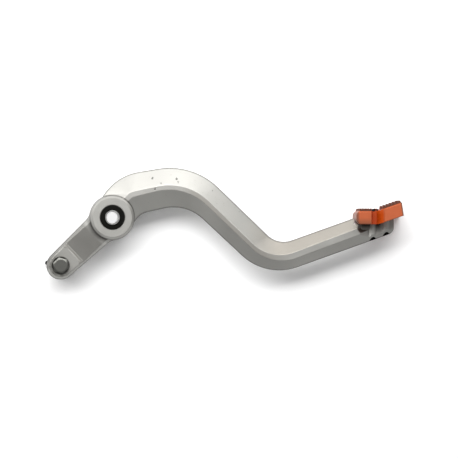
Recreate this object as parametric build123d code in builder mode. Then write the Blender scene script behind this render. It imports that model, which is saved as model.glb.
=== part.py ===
from build123d import *
from math import cos, radians, sin, tan
import os

# Foot pedal of a motorcycle's rear brake, lying on its inner side.
# Millimetres. +Z is the pivot axis and points away from the motorcycle,
# +X points from the pivot towards the step plate. The origin is on the
# pivot axis, at the inner end of the pivot sleeve.

# ---------------------------------------------------------------- dimensions
# pivot: sleeve, needle roller bearing and two lip seals in one straight bore
sleeve_length = 28.0
sleeve_bore_radius = 4.05
sleeve_radius = 5.0
sleeve_chamfer = 0.3
boss_z = 0.5
boss_length = 27.0
boss_mid_radius = 15.8
boss_face_radius = 14.9
boss_bevel = 1.5
seat_radius = 8.5
seat_chamfer = 0.5
bearing_width = 16.0
race_radius = 7.06
rib_radius = 6.75
rib_width = 1.0
ring_chamfer = 0.4
roller_count = 12
roller_radius = 1.0
roller_length = 12.8
roller_end_round = 0.25
roller_pitch_radius = 6.03
cage_inner_radius = 5.35
cage_outer_radius = 6.6
cage_length = 15.6
pocket_gap = 0.12
pocket_cut = 4.0
seal_width = 3.0
seal_recess = 0.4
seal_wall = 1.1
seal_hub_radius = 6.1
seal_lip_radius = 5.04
seal_lip_drop = 1.2
seal_lip_edge = 0.35

# forged arm: a roof shape above and below its parting plane
parting_z = 15.0
land = 1.0
ridge_z = 24.4
ridge_fall = 0.017
edge_round = 0.8
run_out_x = (170.3, 178.0)
run_out_half = 7.2

# short arm with the push rod's bolt at its end
arm_length = 48.5
arm_angle = 223.0
arm_root_half = 11.2
arm_flare = (7.0, 14.1)
arm_flare_end = 11.3
arm_flare_radius = 11.0
arm_end_radius = 9.8
arm_draft = 17.0
arm_root_z = (5.0, 23.2)
ramp_start = 13.0
step_start = 35.2
step_foot_z = 19.4
pad_start = 36.9
pad_z = (13.5, 21.0)
counterbore_radius = 6.2
counterbore_depth = 2.5
bolt_hole_radius = 3.2

# push rod's bolt, M6, and what it clamps
bolt_radius = 3.0
bolt_head_flats = 10.0
bolt_head_height = 4.0
bolt_end_chamfer = 0.5
crown_inset = 0.85
crown_slope = 30.0
running_gap = 0.1
spring_washer_radius = 5.3
spring_washer_thickness = 1.5
spring_washer_split = 0.8
spring_washer_skew = 20.0
bush_radius = 4.5
bush_length = 6.5
washer_radius = 6.0
washer_thickness = 1.0
nut_height = 5.4
nut_slot_depth = 2.2
nut_slot_width = 1.8
split_pin_radius = 0.75
split_pin_angle = 169.0
split_pin_z = 1.8
split_pin_legs = 8.0
split_eye_radius = 0.9
split_eye_wire = 0.7
split_eye_distance = 9.1

# tip and step plate
tip_half = 3.0
tip_root_x = 160.0
tip_end_x = 195.5
tip_corner = 5.0
tip_overlap = 0.3
screw_xs = (180.9, 190.2)
screw_boss_radius = 3.9
tip_pocket_x = (172.6, 179.2)
tip_pocket_y = -8.2
tip_pocket_over = 4.0
tip_pocket_round = 1.5
tip_pocket_draft = 38.0
plate_seat_gap = 0.8
plate_bottom_y = -4.6
plate_left_x = 168.5
plate_bend_x = 184.0
plate_bend_angle = 19.0
plate_rise_length = 18.4
plate_rise_top = 20.1
plate_body = 8.8
plate_width = 30.0
plate_chamfer = 0.5
plate_end_chamfer = 1.1
plate_end_rounds = (3.4, 2.4)
tooth_height = 2.1
left_pitch = 1.9
right_pitch = 2.3
tooth_crest = 0.5
tooth_sink = 0.2
groove_depth = 1.2
groove_half = 0.7
groove_over = 0.3
groove_count = 9
tread_length = 16.0
left_teeth = 5
left_teeth_x = 170.3
middle_tooth_x = 181.9
right_teeth = 6
right_teeth_end = 0.2
waist_x = (178.8, 180.4, 183.2, 188.2)
waist_depth = 8.0
screw_radius = 2.5
screw_length = 12.0
screw_head_radius = 4.25
screw_head_height = 3.5
screw_seat_y = 2.5
socket_half_flats = 2.0
socket_depth = 2.0
screw_recess_radius = 4.5
screw_clearance_radius = 2.75

# for picking edges: closer than this is touching, all ridge edges are higher above
# the parting plane than the second number and longer than the third
tiny = 0.01
facet_height = 6.0
shortest_edge = 2.0

# longer than any piece that a through cut has to clear
through = 80.0


def polar(distance, angle):
    """Point at a distance from the origin, at an angle in degrees."""
    return (distance * cos(radians(angle)), distance * sin(radians(angle)))


def finish(part, label):
    """Name a finished piece and write it to its own file."""
    part.label = label
    export_step(part, f"parts/{label}.step")


os.makedirs("parts", exist_ok=True)

pin = Vector(*polar(arm_length, arm_angle))
bearing_mid_z = boss_z + boss_length / 2
boss_top_z = boss_z + boss_length
rise_slope = tan(radians(plate_bend_angle))

# ---------------------------------------------------------------- lever forging
# Corners and corner radii of the four long edges of the S-shaped arm, from root
# to tip: two on the parting plane, and the two edges of the narrow ridge.
upper_edge = [(-9.0, 10.7), (3.0, 29.0), (56.1, 37.8), (115.1, -19.2), (tip_end_x, 9.4)]
upper_radii = [36.0, 48.0, 16.0]
lower_edge = [(11.5, -9.5), (19.4, 2.6), (51.5, 9.7), (107.1, -42.1), (tip_end_x, -10.5)]
lower_radii = [12.9, 29.4, 37.8]
ridge_upper = [(5.0, 10.5), (12.3, 17.6), (51.5, 26.0), (109.7, -30.1), (tip_end_x, 2.2)]
ridge_upper_radii = [6.0, 39.0, 27.5]
ridge_lower = [(9.0, 9.5), (14.0, 14.1), (50.0, 22.9), (110.3, -34.5), (tip_end_x, -2.7)]
ridge_lower_radii = [6.0, 37.0, 29.4]
ridge_plane = Plane(
    origin=(0, 0, ridge_z), x_dir=(1, 0, -ridge_fall), z_dir=(ridge_fall, 0, 1)
)


def band_outline(upper, upper_r, lower, lower_r):
    """Closed outline between an upper and a lower edge, inside a BuildLine."""
    FilletPolyline(*upper, radius=upper_r)
    FilletPolyline(*lower, radius=lower_r)
    Line(upper[0], lower[0])
    Line(upper[-1], lower[-1])


with BuildPart() as roof_blank:
    with BuildSketch(Plane.XY.offset(parting_z + land)) as roof_base:
        with BuildLine():
            band_outline(upper_edge, upper_radii, lower_edge, lower_radii)
        make_face()
    with BuildSketch(ridge_plane) as roof_ridge:
        with BuildLine():
            band_outline(ridge_upper, ridge_upper_radii, ridge_lower, ridge_lower_radii)
        make_face()
    loft(ruled=True, clean=False)
    extrude(roof_base.sketch, amount=-land)
    mirror(about=Plane.XY.offset(parting_z))
    land_edges = [
        edge for edge in roof_blank.edges()
        if abs(abs(edge.center().Z - parting_z) - land) < tiny
        and edge.bounding_box().size.Z < tiny
    ]
    fillet(land_edges, radius=edge_round)
    ridge_edges = [
        edge for edge in roof_blank.edges()
        if abs(edge.center().Z - parting_z) > facet_height
        and edge.bounding_box().size.X > shortest_edge
    ]
    fillet(ridge_edges, radius=edge_round)

along = Vector(*polar(1, arm_angle))
across = Vector(*polar(1, arm_angle + 90))

with BuildPart() as arm_blank:
    with BuildSketch(Plane.XY.offset(parting_z)) as arm_plan:
        with BuildLine():
            for side in (-1, 1):
                FilletPolyline(
                    (0, 0),
                    along * arm_flare[0] + across * side * arm_flare[1],
                    along * arm_flare_end + across * side * arm_root_half,
                    pin + across * side * arm_end_radius,
                    radius=[0, arm_flare_radius],
                )
            Line(pin + across * arm_end_radius, pin - across * arm_end_radius)
        make_face()
        with Locations(pin):
            Circle(arm_end_radius)
    extrude(amount=parting_z, taper=arm_draft)
    mirror(about=Plane.XY.offset(parting_z))
    side_plane = Plane(
        origin=(0, 0, 0), x_dir=(*polar(1, arm_angle), 0), z_dir=(*polar(1, arm_angle - 90), 0)
    )
    beyond_end = arm_length + 2 * arm_end_radius
    with BuildSketch(side_plane) as arm_side:
        with BuildLine():
            Polyline(
                (0, arm_root_z[0]),
                (ramp_start, arm_root_z[0]),
                (pad_start, pad_z[0]),
                (beyond_end, pad_z[0]),
                (beyond_end, pad_z[1]),
                (pad_start, pad_z[1]),
                (step_start, step_foot_z),
                (ramp_start, arm_root_z[1]),
                (0, arm_root_z[1]),
                close=True,
            )
        make_face()
    extrude(amount=2 * arm_root_half, both=True, mode=Mode.INTERSECT)
    arm_rims = [
        edge for edge in arm_blank.edges()
        if abs(edge.center().Z - parting_z) > 1 and edge.center().dot(along) > ramp_start
    ]
    fillet(arm_rims, radius=edge_round)

with BuildPart() as tip_slab:
    with BuildSketch(Plane.XZ) as tip_section:
        with Locations(((tip_root_x + tip_end_x) / 2, parting_z)):
            Rectangle(tip_end_x - tip_root_x, 2 * tip_half)
        with Locations(*[(x, parting_z) for x in screw_xs]):
            Circle(screw_boss_radius)
    extrude(amount=through, both=True)
    rise_y = plate_bottom_y + (tip_end_x - plate_bend_x) * rise_slope
    end_corner = Vector(*lower_edge[-1])
    lower_slope = (end_corner.Y - lower_edge[-2][1]) / (end_corner.X - lower_edge[-2][0])
    root_lower_y = end_corner.Y - (tip_end_x - tip_root_x) * lower_slope
    with BuildSketch(Plane.XY) as tip_plan:
        with BuildLine():
            FilletPolyline(
                (tip_root_x, plate_bottom_y),
                (plate_bend_x, plate_bottom_y),
                (tip_end_x, rise_y),
                lower_edge[-1],
                (tip_root_x, root_lower_y),
                radius=[0, 0, tip_corner],
            )
            Line((tip_root_x, plate_bottom_y), (tip_root_x, root_lower_y))
        make_face()
    extrude(amount=2 * parting_z, mode=Mode.INTERSECT)

# the arm's lower outer facet runs on to the end of the tip
with BuildPart() as tip_outer:
    add(tip_slab.part)
    add(roof_blank.part, mode=Mode.INTERSECT)

# the inner half is square, so that the screws' holes stay closed on that side
with BuildPart() as tip_inner:
    add(tip_slab.part)
    split(bisect_by=Plane.XY.offset(parting_z), keep=Keep.BOTTOM)
    split(bisect_by=Plane.YZ.offset(run_out_x[1]), keep=Keep.TOP)

with BuildPart() as tip_pocket:
    with BuildSketch(Plane.XY.offset(parting_z + tip_half - tip_overlap)) as pocket_plan:
        with Locations(((tip_pocket_x[0] + tip_pocket_x[1]) / 2, tip_pocket_y)):
            RectangleRounded(
                tip_pocket_x[1] - tip_pocket_x[0], plate_bottom_y - tip_pocket_y + tip_pocket_over,
                tip_pocket_round, align=(Align.CENTER, Align.MIN),
            )
    extrude(amount=run_out_half - tip_half, taper=-tip_pocket_draft)
    mirror(about=Plane.XY.offset(parting_z))

with BuildPart() as boss_blank:
    with BuildSketch(Plane.XZ) as boss_side:
        with BuildLine():
            Polyline(
                (0, boss_z),
                (boss_face_radius - boss_bevel, boss_z),
                (boss_face_radius, boss_z + boss_bevel),
                (boss_mid_radius, parting_z),
                (boss_face_radius, boss_top_z - boss_bevel),
                (boss_face_radius - boss_bevel, boss_top_z),
                (0, boss_top_z),
                close=True,
            )
        make_face()
    revolve(axis=Axis.Z)

with BuildPart() as lever_forging:
    add(boss_blank.part)
    add(arm_blank.part)
    add(roof_blank.part)
    # level seat for the step plate, cut into the end of the arm
    with BuildSketch(Plane.XY) as plate_seat:
        with Locations((plate_left_x - plate_seat_gap, plate_bottom_y)):
            Rectangle(through, through, align=(Align.MIN, Align.MIN))
    extrude(amount=through, mode=Mode.SUBTRACT)
    # the ridge runs out in a ramp and a pocket before the thinner tip
    with BuildSketch(Plane.XZ) as run_out:
        with BuildLine():
            Polyline(
                (run_out_x[0], through),
                (run_out_x[0], parting_z + run_out_half),
                (run_out_x[1], parting_z + tip_half),
                (run_out_x[1], parting_z - tip_half),
                (run_out_x[0], parting_z - run_out_half),
                (run_out_x[0], -through),
                (run_out_x[1] + through, -through),
                (run_out_x[1] + through, through),
                close=True,
            )
        make_face()
    extrude(amount=through, both=True, mode=Mode.SUBTRACT)
    add(tip_pocket.part, mode=Mode.SUBTRACT)
    add(tip_outer.part)
    add(tip_inner.part)
    # straight bore through the boss for the bearing and seals
    with Locations((0, 0, boss_z)):
        Cylinder(seat_radius, boss_length, align=(Align.CENTER, Align.CENTER, Align.MIN),
                 mode=Mode.SUBTRACT)
    chamfer(
        lever_forging.edges().filter_by(GeomType.CIRCLE)
        .filter_by(lambda e: abs(e.radius - seat_radius) < tiny), length=seat_chamfer
    )
    # push rod's bolt hole and its counterbore
    with Locations(Location((pin.X, pin.Y, pad_z[1]))):
        CounterBoreHole(bolt_hole_radius, counterbore_radius, counterbore_depth)
    # tapped holes for the step plate's screws
    for x in screw_xs:
        with Locations(Plane(origin=(x, plate_bottom_y, parting_z), z_dir=(0, 1, 0))):
            Cylinder(screw_radius, through, mode=Mode.SUBTRACT)
finish(lever_forging.part, "lever_forging")

# ---------------------------------------------------------------- pivot bearing
with BuildPart() as pivot_sleeve:
    Cylinder(sleeve_radius, sleeve_length, align=(Align.CENTER, Align.CENTER, Align.MIN))
    Hole(sleeve_bore_radius)
    chamfer(pivot_sleeve.edges().filter_by(GeomType.CIRCLE), length=sleeve_chamfer)
finish(pivot_sleeve.part, "pivot_sleeve")

with BuildPart() as bearing_outer_ring:
    with BuildSketch(Plane.XZ) as ring_side:
        low = bearing_mid_z - bearing_width / 2
        high = bearing_mid_z + bearing_width / 2
        with BuildLine():
            Polyline(
                (rib_radius, low),
                (seat_radius - ring_chamfer, low),
                (seat_radius, low + ring_chamfer),
                (seat_radius, high - ring_chamfer),
                (seat_radius - ring_chamfer, high),
                (rib_radius, high),
                (rib_radius, high - rib_width),
                (race_radius, high - rib_width),
                (race_radius, low + rib_width),
                (rib_radius, low + rib_width),
                close=True,
            )
        make_face()
    revolve(axis=Axis.Z)
finish(bearing_outer_ring.part, "bearing_outer_ring")

with BuildPart() as needle_cage:
    with BuildSketch(Plane.XY.offset(bearing_mid_z - cage_length / 2)) as cage_ring:
        Circle(cage_outer_radius)
        Circle(cage_inner_radius, mode=Mode.SUBTRACT)
    extrude(amount=cage_length)
    with PolarLocations(roller_pitch_radius, roller_count):
        pocket = roller_length + 2 * pocket_gap
        with Locations((0, 0, bearing_mid_z)):
            Box(pocket_cut, 2 * (roller_radius + pocket_gap), pocket, mode=Mode.SUBTRACT)
finish(needle_cage.part, "needle_cage")

for index in range(roller_count):
    spot = polar(roller_pitch_radius, 360 * index / roller_count)
    with BuildPart() as needle_roller:
        with Locations((*spot, bearing_mid_z)):
            Cylinder(roller_radius, roller_length)
        fillet(needle_roller.edges().filter_by(GeomType.CIRCLE), radius=roller_end_round)
    finish(needle_roller.part, f"needle_roller_{index + 1:02d}")

for label, z, outward in (
    ("inner_seal", boss_z + seal_recess, -1),
    ("outer_seal", boss_top_z - seal_recess, 1),
):
    with BuildPart() as seal:
        with BuildSketch(Plane.XZ) as seal_side:
            with BuildLine():
                Polyline(
                    (seat_radius, z),
                    (seat_radius, z - outward * seal_width),
                    (seat_radius - seal_wall, z - outward * seal_width),
                    (seat_radius - seal_wall, z - outward * seal_wall),
                    (seal_hub_radius, z - outward * seal_wall),
                    (seal_lip_radius, z - outward * (seal_wall + seal_lip_drop)),
                    (seal_lip_radius, z - outward * seal_lip_edge),
                    (seal_lip_radius + seal_lip_edge, z),
                    close=True,
                )
            make_face()
        revolve(axis=Axis.Z)
    finish(seal.part, label)

# ---------------------------------------------------------------- push rod's bolt
pin_plane = Plane(origin=(pin.X, pin.Y, 0))
bush_z = pad_z[0] - bush_length
washer_z = bush_z - washer_thickness
nut_z = washer_z - nut_height
spring_washer_z = pad_z[1] - counterbore_depth
head_z = spring_washer_z + spring_washer_thickness


def hexagon(flats, height, at_z, both_ends):
    """Hexagonal head or nut on the bolt's axis, its corners turned off by a cone."""
    corner = flats / 2 / cos(radians(30))
    crown = flats / 2 - crown_inset
    drop = (corner - crown) * tan(radians(crown_slope))
    foot = [(crown, 0), (corner, drop)] if both_ends else [(corner, 0)]
    with BuildPart() as blank:
        with BuildSketch(pin_plane.offset(at_z)):
            RegularPolygon(flats / 2, 6, major_radius=False, rotation=arm_angle)
        extrude(amount=height)
        with BuildSketch(Plane(origin=(pin.X, pin.Y, at_z), x_dir=(1, 0, 0), z_dir=(0, -1, 0))):
            with BuildLine():
                Polyline(
                    (0, 0),
                    *foot,
                    (corner, height - drop),
                    (crown, height),
                    (0, height),
                    close=True,
                )
            make_face()
        revolve(axis=Axis((pin.X, pin.Y, 0), (0, 0, 1)), mode=Mode.INTERSECT)
    return blank.part


split_direction = Vector(*polar(1, split_pin_angle))
split_plane = Plane(
    origin=(pin.X, pin.Y, split_pin_z), x_dir=(0, 0, 1),
    z_dir=(split_direction.X, split_direction.Y, 0),
)

with BuildPart() as pushrod_bolt:
    add(hexagon(bolt_head_flats, bolt_head_height, head_z, False))
    with BuildSketch(pin_plane):
        Circle(bolt_radius)
    extrude(amount=head_z)
    chamfer(pushrod_bolt.faces().sort_by(Axis.Z)[0].edges(), length=bolt_end_chamfer)
    with BuildSketch(split_plane):
        Circle(split_pin_radius + running_gap)
    extrude(amount=2 * bolt_radius, both=True, mode=Mode.SUBTRACT)
finish(pushrod_bolt.part, "pushrod_bolt")

with BuildPart() as pushrod_spring_washer:
    with BuildSketch(pin_plane.offset(spring_washer_z)):
        Circle(spring_washer_radius)
        Circle(bolt_hole_radius, mode=Mode.SUBTRACT)
        with Locations((0, -spring_washer_radius)):
            Rectangle(
                spring_washer_split, 2 * spring_washer_radius,
                rotation=spring_washer_skew, mode=Mode.SUBTRACT,
            )
    extrude(amount=spring_washer_thickness)
finish(pushrod_spring_washer.part, "pushrod_spring_washer")

with BuildPart() as pushrod_bush:
    with BuildSketch(pin_plane.offset(bush_z)):
        Circle(bush_radius)
        Circle(bolt_radius + running_gap, mode=Mode.SUBTRACT)
    extrude(amount=bush_length)
finish(pushrod_bush.part, "pushrod_bush")

with BuildPart() as pushrod_washer:
    with BuildSketch(pin_plane.offset(washer_z)):
        Circle(washer_radius)
        Circle(bolt_hole_radius, mode=Mode.SUBTRACT)
    extrude(amount=washer_thickness)
finish(pushrod_washer.part, "pushrod_washer")

with BuildPart() as pushrod_castle_nut:
    add(hexagon(bolt_head_flats, nut_height, nut_z, True))
    with BuildSketch(pin_plane.offset(nut_z)):
        Circle(bolt_radius)
    extrude(amount=nut_height, mode=Mode.SUBTRACT)
    with BuildSketch(pin_plane.offset(nut_z)):
        for turn in range(3):
            Rectangle(4 * bolt_radius, nut_slot_width, rotation=split_pin_angle + 60 * turn)
    extrude(amount=nut_slot_depth, mode=Mode.SUBTRACT)
finish(pushrod_castle_nut.part, "pushrod_castle_nut")

with BuildPart() as split_pin:
    with BuildSketch(split_plane.offset(-split_pin_legs)):
        Circle(split_pin_radius)
    extrude(amount=split_pin_legs + split_eye_distance - split_eye_radius)
    with Locations(Location(pin + split_direction * split_eye_distance + Vector(0, 0, split_pin_z))):
        Torus(split_eye_radius, split_eye_wire)
finish(split_pin.part, "split_pin")

# ---------------------------------------------------------------- step plate
bend_plane = Plane(
    origin=(plate_bend_x, plate_bottom_y, 0),
    x_dir=(*polar(1, plate_bend_angle), 0), z_dir=(0, 0, 1),
)
half_bend = plate_body * tan(radians(plate_bend_angle / 2))
body_top_y = plate_bottom_y + plate_body


def tooth(left, base_y, pitch):
    """Corners of one saw tooth of the tread, sunk a little into the body."""
    middle = left + pitch / 2
    return (
        (left, base_y - tooth_sink),
        (left, base_y),
        (middle - tooth_crest / 2, base_y + tooth_height),
        (middle + tooth_crest / 2, base_y + tooth_height),
        (left + pitch, base_y),
        (left + pitch, base_y - tooth_sink),
    )


left_tooth_xs = [left_teeth_x + index * left_pitch for index in range(left_teeth)]
right_teeth_x = plate_rise_top - right_teeth * right_pitch - right_teeth_end
right_tooth_xs = [right_teeth_x + index * right_pitch for index in range(right_teeth)]
crest_y = body_top_y + tooth_height
left_crest = Vector(plate_left_x, crest_y, 0)
right_crest = bend_plane.from_local_coords(Vector(right_teeth_x, plate_body + tooth_height, 0))

with BuildPart() as step_plate:
    with BuildSketch() as plate_left:
        with BuildLine():
            FilletPolyline(
                (plate_bend_x, plate_bottom_y),
                (plate_left_x, plate_bottom_y),
                (plate_left_x, body_top_y),
                (plate_bend_x - half_bend, body_top_y),
                radius=plate_end_rounds,
            )
            Line((plate_bend_x, plate_bottom_y), (plate_bend_x - half_bend, body_top_y))
        make_face()
    extrude(amount=plate_width)
    with BuildSketch(bend_plane) as plate_rise:
        with BuildLine():
            Polyline(
                (0, 0),
                (plate_rise_length, 0),
                (plate_rise_top, plate_body),
                (-half_bend, plate_body),
                close=True,
            )
        make_face()
    extrude(amount=plate_width)
    end_face = step_plate.faces().sort_by(Axis.X)[-1]
    end_edges = [edge for edge in end_face.edges() if edge.bounding_box().size.Z < plate_chamfer]
    chamfer(end_edges, length=plate_end_chamfer)
    side_faces = step_plate.faces().filter_by(Axis.Z)
    rise_mid_x = plate_bend_x + plate_rise_length / 2
    side_edges = [edge for edge in side_faces.edges() if edge.center().X < rise_mid_x]
    chamfer(side_edges, length=plate_chamfer)
    # tread: saw teeth across the plate, cut into points by grooves along it
    with BuildSketch(Plane.XY.offset(plate_chamfer)) as left_tread:
        for left in left_tooth_xs + [middle_tooth_x]:
            with BuildLine():
                Polyline(*tooth(left, body_top_y, left_pitch), close=True)
            make_face()
    extrude(amount=plate_width - 2 * plate_chamfer)
    with BuildSketch(bend_plane.offset(plate_chamfer)) as right_tread:
        for left in right_tooth_xs:
            with BuildLine():
                Polyline(*tooth(left, plate_body, right_pitch), close=True)
            make_face()
    extrude(amount=plate_width - 2 * plate_chamfer)
    for start, direction in ((left_crest, (1, 0, 0)), (right_crest, bend_plane.x_dir)):
        with BuildSketch(Plane(origin=start, x_dir=(0, 0, 1), z_dir=direction)) as grooves:
            for index in range(1, groove_count + 1):
                z = plate_width * index / (groove_count + 1)
                with BuildLine():
                    Polyline(
                        (z - groove_half, -groove_over),
                        (z + groove_half, -groove_over),
                        (z, groove_depth),
                        close=True,
                    )
                make_face()
        extrude(amount=tread_length, mode=Mode.SUBTRACT)
    # waist on both sides, between the two gripping ends
    for z, inward in ((0, 1), (plate_width, -1)):
        with BuildSketch(Plane.XZ) as waist:
            with BuildLine():
                Polyline(
                    (waist_x[0], z - inward),
                    (waist_x[0], z),
                    (waist_x[1], z + inward * waist_depth),
                    (waist_x[2], z + inward * waist_depth),
                    (waist_x[3], z),
                    (waist_x[3], z - inward),
                    close=True,
                )
            make_face()
        extrude(amount=through, both=True, mode=Mode.SUBTRACT)
    # recesses and clearance holes for the screws
    for x in screw_xs:
        with BuildSketch(Plane(origin=(x, screw_seat_y, parting_z), z_dir=(0, 1, 0))):
            Circle(screw_recess_radius)
        extrude(amount=through, mode=Mode.SUBTRACT)
        with BuildSketch(Plane(origin=(x, screw_seat_y, parting_z), z_dir=(0, 1, 0))):
            Circle(screw_clearance_radius)
        extrude(amount=through, both=True, mode=Mode.SUBTRACT)
finish(step_plate.part, "step_plate")

with BuildPart() as step_plate_screws:
    for x in screw_xs:
        seat = Plane(origin=(x, screw_seat_y, parting_z), z_dir=(0, 1, 0))
        with BuildSketch(seat):
            Circle(screw_head_radius)
        extrude(amount=screw_head_height)
        with BuildSketch(seat):
            Circle(screw_radius)
        extrude(amount=-screw_length)
        with BuildSketch(seat.offset(screw_head_height)):
            RegularPolygon(socket_half_flats, 6, major_radius=False)
        extrude(amount=-socket_depth, mode=Mode.SUBTRACT)
finish(step_plate_screws.part, "step_plate_screws")
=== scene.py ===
import math

import bpy
from mathutils import Matrix, Vector


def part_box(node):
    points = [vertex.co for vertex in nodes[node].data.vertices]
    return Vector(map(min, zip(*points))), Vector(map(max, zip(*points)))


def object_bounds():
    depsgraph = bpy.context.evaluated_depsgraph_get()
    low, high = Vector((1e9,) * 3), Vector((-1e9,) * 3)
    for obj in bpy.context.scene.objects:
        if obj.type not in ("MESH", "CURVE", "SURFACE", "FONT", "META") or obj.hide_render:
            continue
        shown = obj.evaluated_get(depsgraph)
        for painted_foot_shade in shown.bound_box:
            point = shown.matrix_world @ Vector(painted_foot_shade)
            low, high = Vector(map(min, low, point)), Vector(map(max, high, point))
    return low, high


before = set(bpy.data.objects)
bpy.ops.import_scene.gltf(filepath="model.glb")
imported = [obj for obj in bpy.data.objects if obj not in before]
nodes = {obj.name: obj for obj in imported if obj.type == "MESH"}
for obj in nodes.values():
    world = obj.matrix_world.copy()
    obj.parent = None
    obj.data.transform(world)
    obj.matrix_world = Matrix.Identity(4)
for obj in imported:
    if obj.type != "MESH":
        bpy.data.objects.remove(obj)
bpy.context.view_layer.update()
scene = bpy.context.scene

MM = 0.001
WHITE = (1, 1, 1, 1)
X_AXIS = (1, 0, 0)
Y_AXIS = (0, 1, 0)

# ---------------------------------------------------------------- places, from the frame
whole_low, whole_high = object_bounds()
lever_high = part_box("lever_forging")[1]
plate_low, plate_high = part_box("step_plate")
bolt_low, bolt_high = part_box("pushrod_bolt")
screws_low, screws_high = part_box("step_plate_screws")
pivot = Vector((0, 0, 0))
boss_top = lever_high.z
bolt_axis = (bolt_low + bolt_high) / 2
parting_z = (plate_low.z + plate_high.z) / 2
head_radius = (screws_high.z - screws_low.z) / 2
screw_xs = (screws_low.x + head_radius, screws_high.x - head_radius)

# ---------------------------------------------------------------- camera, light and floor
camera_lean = math.radians(3.5)
camera_distance = 3.0
camera_field = 316 * MM
camera_target = Vector((80.4 * MM, -7.9 * MM, boss_top))
sensor_width = 36
box_size = (1.0, 0.30)
box_energy = 5.5
box_offset = Vector((-0.07, 0.28, 0.30))
world_strength = 0.5
floor_reach = 3.0
floor_gap = 0.2 * MM
# a disc of floor under the pivot's bore glows: painted light, no lamp
painted_glow_radius = 5 * MM
painted_glow_strength = 0.8

# ---------------------------------------------------------------- places on the step plate
plate_body = 8.8 * MM
plate_bend_x = 184 * MM
plate_bend = math.radians(19)
plate_waist = (178.8 * MM, 188.2 * MM)
waist_wall = (183.6 * MM, 183.0 * MM)
waist_edge = 0.2 * MM
waist_recess = (0.3 * MM, 2 * MM)
cut_lean = math.radians(8.3)
cut_foot = Vector((plate_high.x, 1.4 * MM, 0))
cut_rim = (-1.1 * MM, -0.6 * MM)
left_rim = (2.2 * MM, 1.0 * MM)
# painted shade rises this far up the foot of the left lobe
low_shade_rise = (4.5 * MM, 1.5 * MM)
tread_fade = 0.5 * MM

# ---------------------------------------------------------------- places on the forging
# each pair is where a mask starts and where it is full
arm_out = (-0.731, -0.682, 0)
arm_root = 15.5 * MM
arm_fade = 3 * MM
pad_radius = 12.5 * MM
pad_edge = (20.2 * MM, 20.9 * MM)
arm_end = (27 * MM, 36 * MM)
# painted shade and light on the long arm's facets, ridge and bend
upper_facet = (0.1, 0.3)
ridge_upper_limit = (0.15, 0.0)
ridge_lower_limit = (-0.35, -0.2)
bend_facet = (-0.2, -0.35)
facet_light_facing = (-0.15, -0.35)
facet_shade_reach = (45 * MM, 105 * MM)
warmer_facet_shade = (90 * MM, 115 * MM)
ridge_shade = (46 * MM, 60 * MM)
ridge_shade_end = (128 * MM, 105 * MM)
bend_shade = (70 * MM, 80 * MM)
bend_shade_end = (135 * MM, 115 * MM)
facet_light_part = (52 * MM, 25 * MM)
# painted shadow under the step plate
plate_shadow_foot = -13 * MM
plate_shadow_start = (170.3 * MM, 173.5 * MM)
plate_shadow_end = (185 * MM, 188.5 * MM)
web_top = (18.9 * MM, 18.1 * MM)
# half widths of the dark band along the parting plane
parting_band_half = (1.7 * MM, 1.1 * MM)
# painted shade on the boss's flank and at its foot on the short arm
boss_rim = (14.5 * MM, 14.9 * MM)
boss_rim_end = (16.1 * MM, 15.7 * MM)
boss_bevel = (1.2 * MM, 1.6 * MM)
boss_corner = (14.8 * MM, 15.4 * MM)
boss_corner_end = (18.4 * MM, 16.2 * MM)
corner_start = (11 * MM, 14 * MM)
turned_radius = 15 * MM
turned_depth = (0.6 * MM, 0.4 * MM)
turned_pitch = 0.28 * MM
hole_radius = 2.55 * MM
nick_ragged = 3.2 * MM
# dark nicks in the outer face, as x, y and size in millimetres
nicks = (
    (27.9, 27.3, 0.9), (33.5, 23.8, 0.7), (44.5, 26.6, 1.0), (45.6, 24.6, 0.9),
    (29.3, 19.6, 0.8), (69.5, 18.7, 0.5), (85.0, 7.0, 0.5), (88.0, 4.2, 0.6),
)


def make_camera():
    """Long lens looking down on the outer face, leaning a little to the pivot's side."""
    back = Vector((-math.sin(camera_lean), 0, math.cos(camera_lean)))
    right = Vector((math.cos(camera_lean), 0, math.sin(camera_lean)))
    up = Vector((0, 1, 0))
    data = bpy.data.cameras.new("camera")
    data.sensor_width = sensor_width
    data.lens = data.sensor_width * camera_distance / camera_field
    data.clip_end = 20
    camera = bpy.data.objects.new("camera", data)
    rotation = Matrix((right, up, back)).transposed().to_4x4()
    camera.matrix_world = Matrix.Translation(camera_target + back * camera_distance) @ rotation
    scene.collection.objects.link(camera)
    scene.camera = camera


def make_light():
    """One long soft box close above the top edge of the view, a little to the left."""
    centre = (whole_low + whole_high) / 2
    data = bpy.data.lights.new("soft_box", "AREA")
    data.shape = "RECTANGLE"
    data.size, data.size_y = box_size
    data.energy = box_energy
    light = bpy.data.objects.new("soft_box", data)
    light.location = centre + box_offset
    aim = centre - light.location
    light.rotation_euler = aim.to_track_quat("-Z", "Y").to_euler()
    scene.collection.objects.link(light)
    world = bpy.data.worlds.new("studio")
    world.use_nodes = True
    background = world.node_tree.nodes["Background"]
    background.inputs["Color"].default_value = WHITE
    background.inputs["Strength"].default_value = world_strength
    scene.world = world


def make_floor():
    mesh = bpy.data.meshes.new("floor")
    z = whole_low.z - floor_gap
    signs = ((-1, -1), (1, -1), (1, 1), (-1, 1))
    corners = [(x * floor_reach, y * floor_reach, z) for x, y in signs]
    mesh.from_pydata(corners, [], [(0, 1, 2, 3)])
    floor = bpy.data.objects.new("floor", mesh)
    scene.collection.objects.link(floor)
    floor.data.materials.append(floor_material())


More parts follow.
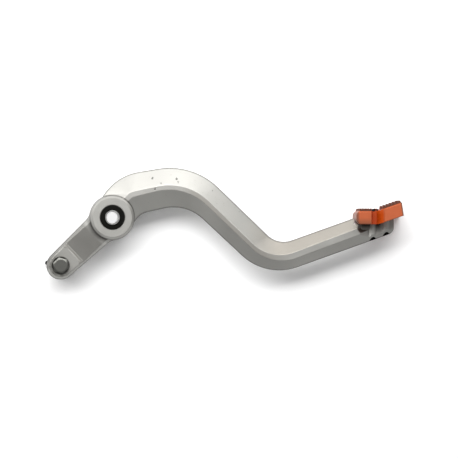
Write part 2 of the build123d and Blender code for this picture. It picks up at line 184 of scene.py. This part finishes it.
# ---------------------------------------------------------------- materials
class Nodes:
    """Short names for building a material's nodes."""

    def __init__(self, name):
        self.material = bpy.data.materials.new(name)
        self.material.use_nodes = True
        self.tree = self.material.node_tree
        self.shader = self.tree.nodes["Principled BSDF"]
        self.coordinates = self.add("ShaderNodeTexCoord")
        self.place = self.coordinates.outputs["Object"]

    def add(self, kind, **settings):
        node = self.tree.nodes.new(kind)
        for key, value in settings.items():
            setattr(node, key, value)
        return node

    def join(self, source, target):
        self.tree.links.new(source, target)

    def feed(self, socket, value):
        if isinstance(value, (int, float, tuple)):
            socket.default_value = value
        else:
            self.join(value, socket)

    def noise(self, scale, detail=2.0, rough=0.5):
        node = self.add("ShaderNodeTexNoise")
        self.join(self.place, node.inputs["Vector"])
        node.inputs["Scale"].default_value = scale
        node.inputs["Detail"].default_value = detail
        node.inputs["Roughness"].default_value = rough
        return node.outputs["Fac"]

    def math(self, operation, a, b=0.0):
        node = self.add("ShaderNodeMath", operation=operation)
        self.feed(node.inputs[0], a)
        self.feed(node.inputs[1], b)
        return node.outputs[0]

    def times(self, a, b):
        return self.math("MULTIPLY", a, b)

    def span(self, value, low, high, to_low=0.0, to_high=1.0):
        node = self.add("ShaderNodeMapRange")
        self.feed(node.inputs["Value"], value)
        node.inputs["From Min"].default_value = low
        node.inputs["From Max"].default_value = high
        node.inputs["To Min"].default_value = to_low
        node.inputs["To Max"].default_value = to_high
        return node.outputs["Result"]

    def mix(self, amount, a, b):
        node = self.add("ShaderNodeMix", data_type="RGBA")
        self.feed(node.inputs[0], amount)
        self.feed(node.inputs[6], a)
        self.feed(node.inputs[7], b)
        return node.outputs[2]

    def stain_and_painted_light(self, colour, mask, amount, other):
        """The colour with an amount of another one over it, where the mask is 1; used for real
        marks and dirt and for painted shade and light.
        """
        return self.mix(self.times(mask, amount), colour, other)

    def bump(self, height, distance, strength=1.0, under=None):
        node = self.add("ShaderNodeBump")
        node.inputs["Strength"].default_value = strength
        node.inputs["Distance"].default_value = distance
        self.join(height, node.inputs["Height"])
        if under is not None:
            self.join(under, node.inputs["Normal"])
        return node.outputs["Normal"]

    def radius(self, centre, across=(1, 1, 0)):
        """Distance in metres from an axis through centre, upright unless across says otherwise."""
        offset = self.add("ShaderNodeVectorMath", operation="SUBTRACT")
        self.join(self.place, offset.inputs[0])
        offset.inputs[1].default_value = centre
        flat = self.add("ShaderNodeVectorMath", operation="MULTIPLY")
        self.join(offset.outputs[0], flat.inputs[0])
        flat.inputs[1].default_value = across
        length = self.add("ShaderNodeVectorMath", operation="LENGTH")
        self.join(flat.outputs[0], length.inputs[0])
        return length.outputs["Value"]

    def along(self, direction):
        """Distance in metres from the origin along a direction of length 1."""
        node = self.add("ShaderNodeVectorMath", operation="DOT_PRODUCT")
        self.join(self.place, node.inputs[0])
        node.inputs[1].default_value = direction
        return node.outputs["Value"]

    def height_z(self):
        split = self.add("ShaderNodeSeparateXYZ")
        self.join(self.place, split.inputs[0])
        return split.outputs["Z"]

    def facing_y(self):
        """How far the surface faces the foot's side: 1 for straight towards it."""
        split = self.add("ShaderNodeSeparateXYZ")
        self.join(self.coordinates.outputs["Normal"], split.inputs[0])
        return split.outputs["Y"]

    def finish(self, colour, roughness, metallic, normal=None):
        self.feed(self.shader.inputs["Base Color"], colour)
        self.feed(self.shader.inputs["Roughness"], roughness)
        self.shader.inputs["Metallic"].default_value = metallic
        if normal is not None:
            self.join(normal, self.shader.inputs["Normal"])
        return self.material


def floor_material():
    """White paper, with a painted glow where it shows through the pivot's bore."""
    n = Nodes("floor_white")
    grain = n.noise(40)
    colour = n.mix(grain, (0.93, 0.93, 0.93, 1), (0.95, 0.95, 0.95, 1))
    # painted light: the paper glows under the bore
    glowing_under_bore = n.math("LESS_THAN", n.radius(pivot), painted_glow_radius)
    n.shader.inputs["Emission Color"].default_value = WHITE
    n.join(n.times(glowing_under_bore, painted_glow_strength), n.shader.inputs["Emission Strength"])
    return n.finish(colour, 0.9, 0.0)


def darken_short_arm(n, colour, height):
    """The short arm's forged face gets painted shade, darker than the rest, and its end is darker
    and mottled.
    """
    arm_side = n.math("ADD", n.along(arm_out), -arm_root)
    near_bolt = n.math("LESS_THAN", n.radius(bolt_axis), pad_radius)
    on_pad = n.times(near_bolt, n.span(height, *pad_edge, 0.0, 0.45))
    # painted shade over the arm's face, weaker on the pad's top
    painted_arm_shade = n.times(n.span(arm_side, 0, arm_fade), n.math("SUBTRACT", 1.0, on_pad))
    colour = n.stain_and_painted_light(colour, painted_arm_shade, 0.62, (0.13, 0.126, 0.115, 1))
    mottled = n.span(n.noise(420, 3, 0.6), 0.35, 0.6, 0.15, 0.65)
    return n.stain_and_painted_light(colour, n.span(arm_side, *arm_end), mottled, (0.07, 0.068, 0.06, 1))


def paint_long_arm_light_and_shade(n, colour, height):
    """Painted shade on the long arm's upper facets, ridge and lower facets, painted light on its
    lower facets near the pivot, and a painted shadow under the step plate.
    """
    x = n.along(X_AXIS)
    facing = n.facing_y()
    # painted shade on the upper facets, darker and warmer along the arm
    painted_facet_shade = n.times(n.span(x, *facet_shade_reach, 0.0, 0.72), n.span(facing, *upper_facet))
    facet_shade_colour = n.mix(n.span(x, *warmer_facet_shade), (0.17, 0.17, 0.16, 1), (0.2, 0.182, 0.155, 1))
    colour = n.mix(painted_facet_shade, colour, facet_shade_colour)
    # painted shade on the ridge
    ridge = n.times(n.span(facing, *ridge_upper_limit), n.span(facing, *ridge_lower_limit))
    painted_ridge_shade = n.times(n.span(x, *ridge_shade, 0.0, 0.5), n.span(x, *ridge_shade_end))
    colour = n.stain_and_painted_light(colour, ridge, painted_ridge_shade, (0.2, 0.185, 0.16, 1))
    # painted shade on the lower facets round the bend
    painted_bend_shade = n.times(n.span(x, *bend_shade, 0.0, 0.16), n.span(x, *bend_shade_end))
    colour = n.stain_and_painted_light(colour, n.span(facing, *bend_facet), painted_bend_shade, (0.1, 0.1, 0.095, 1))
    # painted light on the lower facets near the pivot
    painted_facet_light = n.span(x, *facet_light_part, 0.0, 0.4)
    colour = n.stain_and_painted_light(colour, n.span(facing, *facet_light_facing), painted_facet_light, (0.5, 0.5, 0.47, 1))

    # painted shadow of the step plate on the web, darkest where the web lies low
    to_plate = n.span(n.along(Y_AXIS), plate_shadow_foot, plate_low.y)
    plate_shadow = n.times(n.span(x, *plate_shadow_start), to_plate)
    plate_shadow = n.times(plate_shadow, n.span(x, *plate_shadow_end, 1.0, 0.3))
    low_web = n.span(height, *web_top, 0.45, 1.15)
    return n.stain_and_painted_light(colour, n.times(plate_shadow, low_web), 0.92, (0.03, 0.025, 0.02, 1))


def line_forging(n, colour, height, from_pivot):
    """A dark band along the parting plane, painted shade on the boss's flank and at its foot on
    the short arm, and painted shade in the tapped holes.
    """
    # a dark band along the parting plane
    parting_band = n.math("ABSOLUTE", n.math("SUBTRACT", height, parting_z))
    colour = n.stain_and_painted_light(colour, n.span(parting_band, *parting_band_half), 0.8, (0.08, 0.08, 0.075, 1))

    # painted shade on the boss's flank, just below its face
    painted_flank_shade = n.times(n.span(from_pivot, *boss_rim), n.span(from_pivot, *boss_rim_end))
    below_face = n.span(height, boss_top - boss_bevel[0], boss_top - boss_bevel[1], 0.0, 0.62)
    colour = n.stain_and_painted_light(colour, painted_flank_shade, below_face, (0.06, 0.058, 0.052, 1))
    # painted shade in the crease at the boss's foot, on the short arm's side
    painted_foot_shade = n.times(n.span(from_pivot, *boss_corner), n.span(from_pivot, *boss_corner_end))
    on_arm = n.span(n.along(arm_out), *corner_start, 0.0, 0.6)
    colour = n.stain_and_painted_light(colour, painted_foot_shade, on_arm, (0.04, 0.038, 0.034, 1))

    # painted shade: the tapped holes are coloured near black
    for screw_x in screw_xs:
        from_screw = n.radius((screw_x, 0, parting_z), (1, 0, 1))
        in_hole = n.math("LESS_THAN", from_screw, hole_radius)
        colour = n.mix(in_hole, colour, (0.012, 0.011, 0.01, 1))
    return colour


def nick_marks(n, height):
    """Mask of the ragged nicks in the outer face."""
    ragged = n.times(n.math("SUBTRACT", n.noise(1100, 3, 0.6), 0.45), nick_ragged)
    mask = None
    for x, y, size in nicks:
        reach = n.math("ADD", n.radius((x * MM, y * MM, 0)), ragged)
        spot = n.span(reach, size * MM, 0.6 * size * MM)
        mask = spot if mask is None else n.math("MAXIMUM", mask, spot)
    return n.times(mask, n.math("GREATER_THAN", height, parting_z))


def lever_material():
    """Blasted aluminium with painted light and shade on its arms and boss, turned rings on the
    boss, pits and nicks.
    """
    n = Nodes("blasted_aluminium")
    cloud = n.noise(55, 3, 0.6)
    grain = n.noise(2600, 2, 0.6)
    pits = n.span(n.noise(900, 3, 0.55), 0.66, 0.74)
    height = n.height_z()
    from_pivot = n.radius(pivot)
    colour = n.mix(cloud, (0.34, 0.335, 0.315, 1), (0.40, 0.395, 0.375, 1))
    colour = darken_short_arm(n, colour, height)
    colour = paint_long_arm_light_and_shade(n, colour, height)
    colour = line_forging(n, colour, height, from_pivot)
    colour = n.stain_and_painted_light(colour, pits, 0.35, (0.2, 0.19, 0.17, 1))
    marks = nick_marks(n, height)
    colour = n.stain_and_painted_light(colour, marks, 0.8, (0.06, 0.058, 0.055, 1))

    on_top = n.span(height, boss_top - turned_depth[0], boss_top - turned_depth[1])
    turned = n.times(on_top, n.math("LESS_THAN", from_pivot, turned_radius))
    colour = n.stain_and_painted_light(colour, turned, 0.22, (0.2, 0.2, 0.185, 1))
    rings = n.math("SINE", n.times(from_pivot, 2 * math.pi / turned_pitch))
    roughness = n.span(cloud, 0.3, 0.7, 0.48, 0.58)
    blasted = n.bump(grain, 0.05 * MM, 0.5)
    worn = n.bump(n.math("MAXIMUM", pits, marks), -0.08 * MM, 0.7, blasted)
    normal = n.bump(n.times(rings, turned), 0.008 * MM, 0.6, worn)
    return n.finish(colour, roughness, 1.0, normal)


def steel_material(name, light, dark, rough):
    n = Nodes(name)
    cloud = n.noise(700, 3, 0.6)
    fine = n.noise(5200)
    colour = n.mix(cloud, light, dark)
    roughness = n.span(cloud, 0.3, 0.7, rough - 0.06, rough + 0.06)
    return n.finish(colour, roughness, 1.0, n.bump(fine, 0.02 * MM, 0.35))


def rubber_material():
    n = Nodes("seal_rubber")
    cloud = n.noise(900, 3, 0.6)
    colour = n.mix(cloud, (0.002, 0.002, 0.0015, 1), (0.004, 0.004, 0.003, 1))
    n.shader.inputs["Specular IOR Level"].default_value = 0.06
    return n.finish(colour, n.span(cloud, 0.3, 0.7, 0.6, 0.75), 0.0, n.bump(cloud, 0.03 * MM, 0.4))


def tread_mask(n):
    """1 on the teeth, which stand above the plate's body on both sides of its bend."""
    rise_up = Vector((-math.sin(plate_bend), math.cos(plate_bend), 0))
    bend_foot = Vector((plate_bend_x, plate_low.y, 0))
    above_left = n.math("SUBTRACT", n.along(Y_AXIS), bend_foot.y)
    above_rise = n.math("SUBTRACT", n.along(rise_up), bend_foot.dot(rise_up))
    above = n.math("MINIMUM", above_left, above_rise)
    return n.span(above, plate_body, plate_body + tread_fade)


def waist_mask(n, x):
    """1 inside the waist's recess, where the painted shade goes."""
    sideways = n.math("ABSOLUTE", n.math("SUBTRACT", n.height_z(), parting_z))
    half_width = plate_high.z - parting_z
    recessed = n.span(sideways, half_width - waist_recess[0], half_width - waist_recess[1])
    past_left = n.math("GREATER_THAN", x, plate_waist[0] - waist_edge)
    before_right = n.math("LESS_THAN", x, plate_waist[1] + waist_edge)
    return n.times(recessed, n.times(past_left, before_right))


def anodised_material():
    """Orange anodising: painted shade on both ends, on the foot of the left lobe and in the waist,
    and boot dirt in the tread.
    """
    n = Nodes("orange_anodised")
    cloud = n.noise(140, 3, 0.6)
    fine = n.noise(3800, 2, 0.6)
    x = n.along(X_AXIS)
    colour = n.mix(cloud, (0.36, 0.074, 0.02, 1), (0.42, 0.092, 0.03, 1))

    # painted shade on the lower part of the left lobe
    low = n.span(n.along(Y_AXIS), plate_low.y + low_shade_rise[0], plate_low.y + low_shade_rise[1])
    painted_low_shade = n.times(low, n.math("LESS_THAN", x, plate_waist[0]))
    colour = n.stain_and_painted_light(colour, painted_low_shade, 0.7, (0.17, 0.05, 0.02, 1))
    # painted shade on the left end
    painted_end_shade = n.span(x, plate_low.x + left_rim[0], plate_low.x + left_rim[1], 0.0, 0.75)
    colour = n.mix(painted_end_shade, colour, (0.1, 0.045, 0.03, 1))
    # painted shade on the cut face at the right end
    cut_face = Vector((math.cos(cut_lean), math.sin(cut_lean), 0))
    to_cut = n.math("SUBTRACT", n.along(cut_face), cut_foot.dot(cut_face))
    colour = n.mix(n.span(to_cut, *cut_rim, 0.0, 0.7), colour, (0.1, 0.05, 0.025, 1))

    # painted shade in the waist's recess: deeper red, darker towards its left wall
    painted_waist_shade = waist_mask(n, x)
    colour = n.mix(painted_waist_shade, colour, (0.46, 0.062, 0.001, 1))
    colour = n.stain_and_painted_light(colour, painted_waist_shade, n.span(x, *waist_wall, 0.0, 0.6), (0.36, 0.035, 0.0, 1))
    dirt = n.times(tread_mask(n), 0.85)
    colour = n.mix(dirt, colour, (0.05, 0.018, 0.01, 1))
    roughness = n.math("MAXIMUM", n.span(cloud, 0.3, 0.7, 0.42, 0.52), dirt)
    return n.finish(colour, roughness, 0.35, n.bump(fine, 0.03 * MM, 0.35))


def dress(material, *names):
    for name in names:
        mesh = nodes[name].data
        mesh.materials.clear()
        mesh.materials.append(material)


make_camera()
make_light()
make_floor()
dress(lever_material(), "lever_forging")
ground = steel_material("ground_steel", (0.56, 0.56, 0.55, 1), (0.44, 0.44, 0.43, 1), 0.3)
dull_zinc = steel_material("dull_zinc", (0.15, 0.15, 0.14, 1), (0.11, 0.11, 0.1, 1), 0.42)
black_oxide = steel_material("black_oxide", (0.045, 0.045, 0.045, 1), (0.02, 0.02, 0.02, 1), 0.5)
brass = steel_material("turned_brass", (0.62, 0.45, 0.2, 1), (0.5, 0.35, 0.14, 1), 0.35)
rollers = [name for name in nodes if name.startswith("needle_roller")]
dress(ground, "pivot_sleeve", "bearing_outer_ring", "needle_cage", *rollers)
dress(dull_zinc, "pushrod_bolt", "pushrod_washer", "pushrod_castle_nut")
# black oxide; on the spring washer the black also stands in for the shade in the bolt's
# counterbore
dress(black_oxide, "pushrod_spring_washer", "split_pin", "step_plate_screws")
dress(brass, "pushrod_bush")
dress(rubber_material(), "inner_seal", "outer_seal")
dress(anodised_material(), "step_plate")

scene.view_settings.view_transform = "Standard"
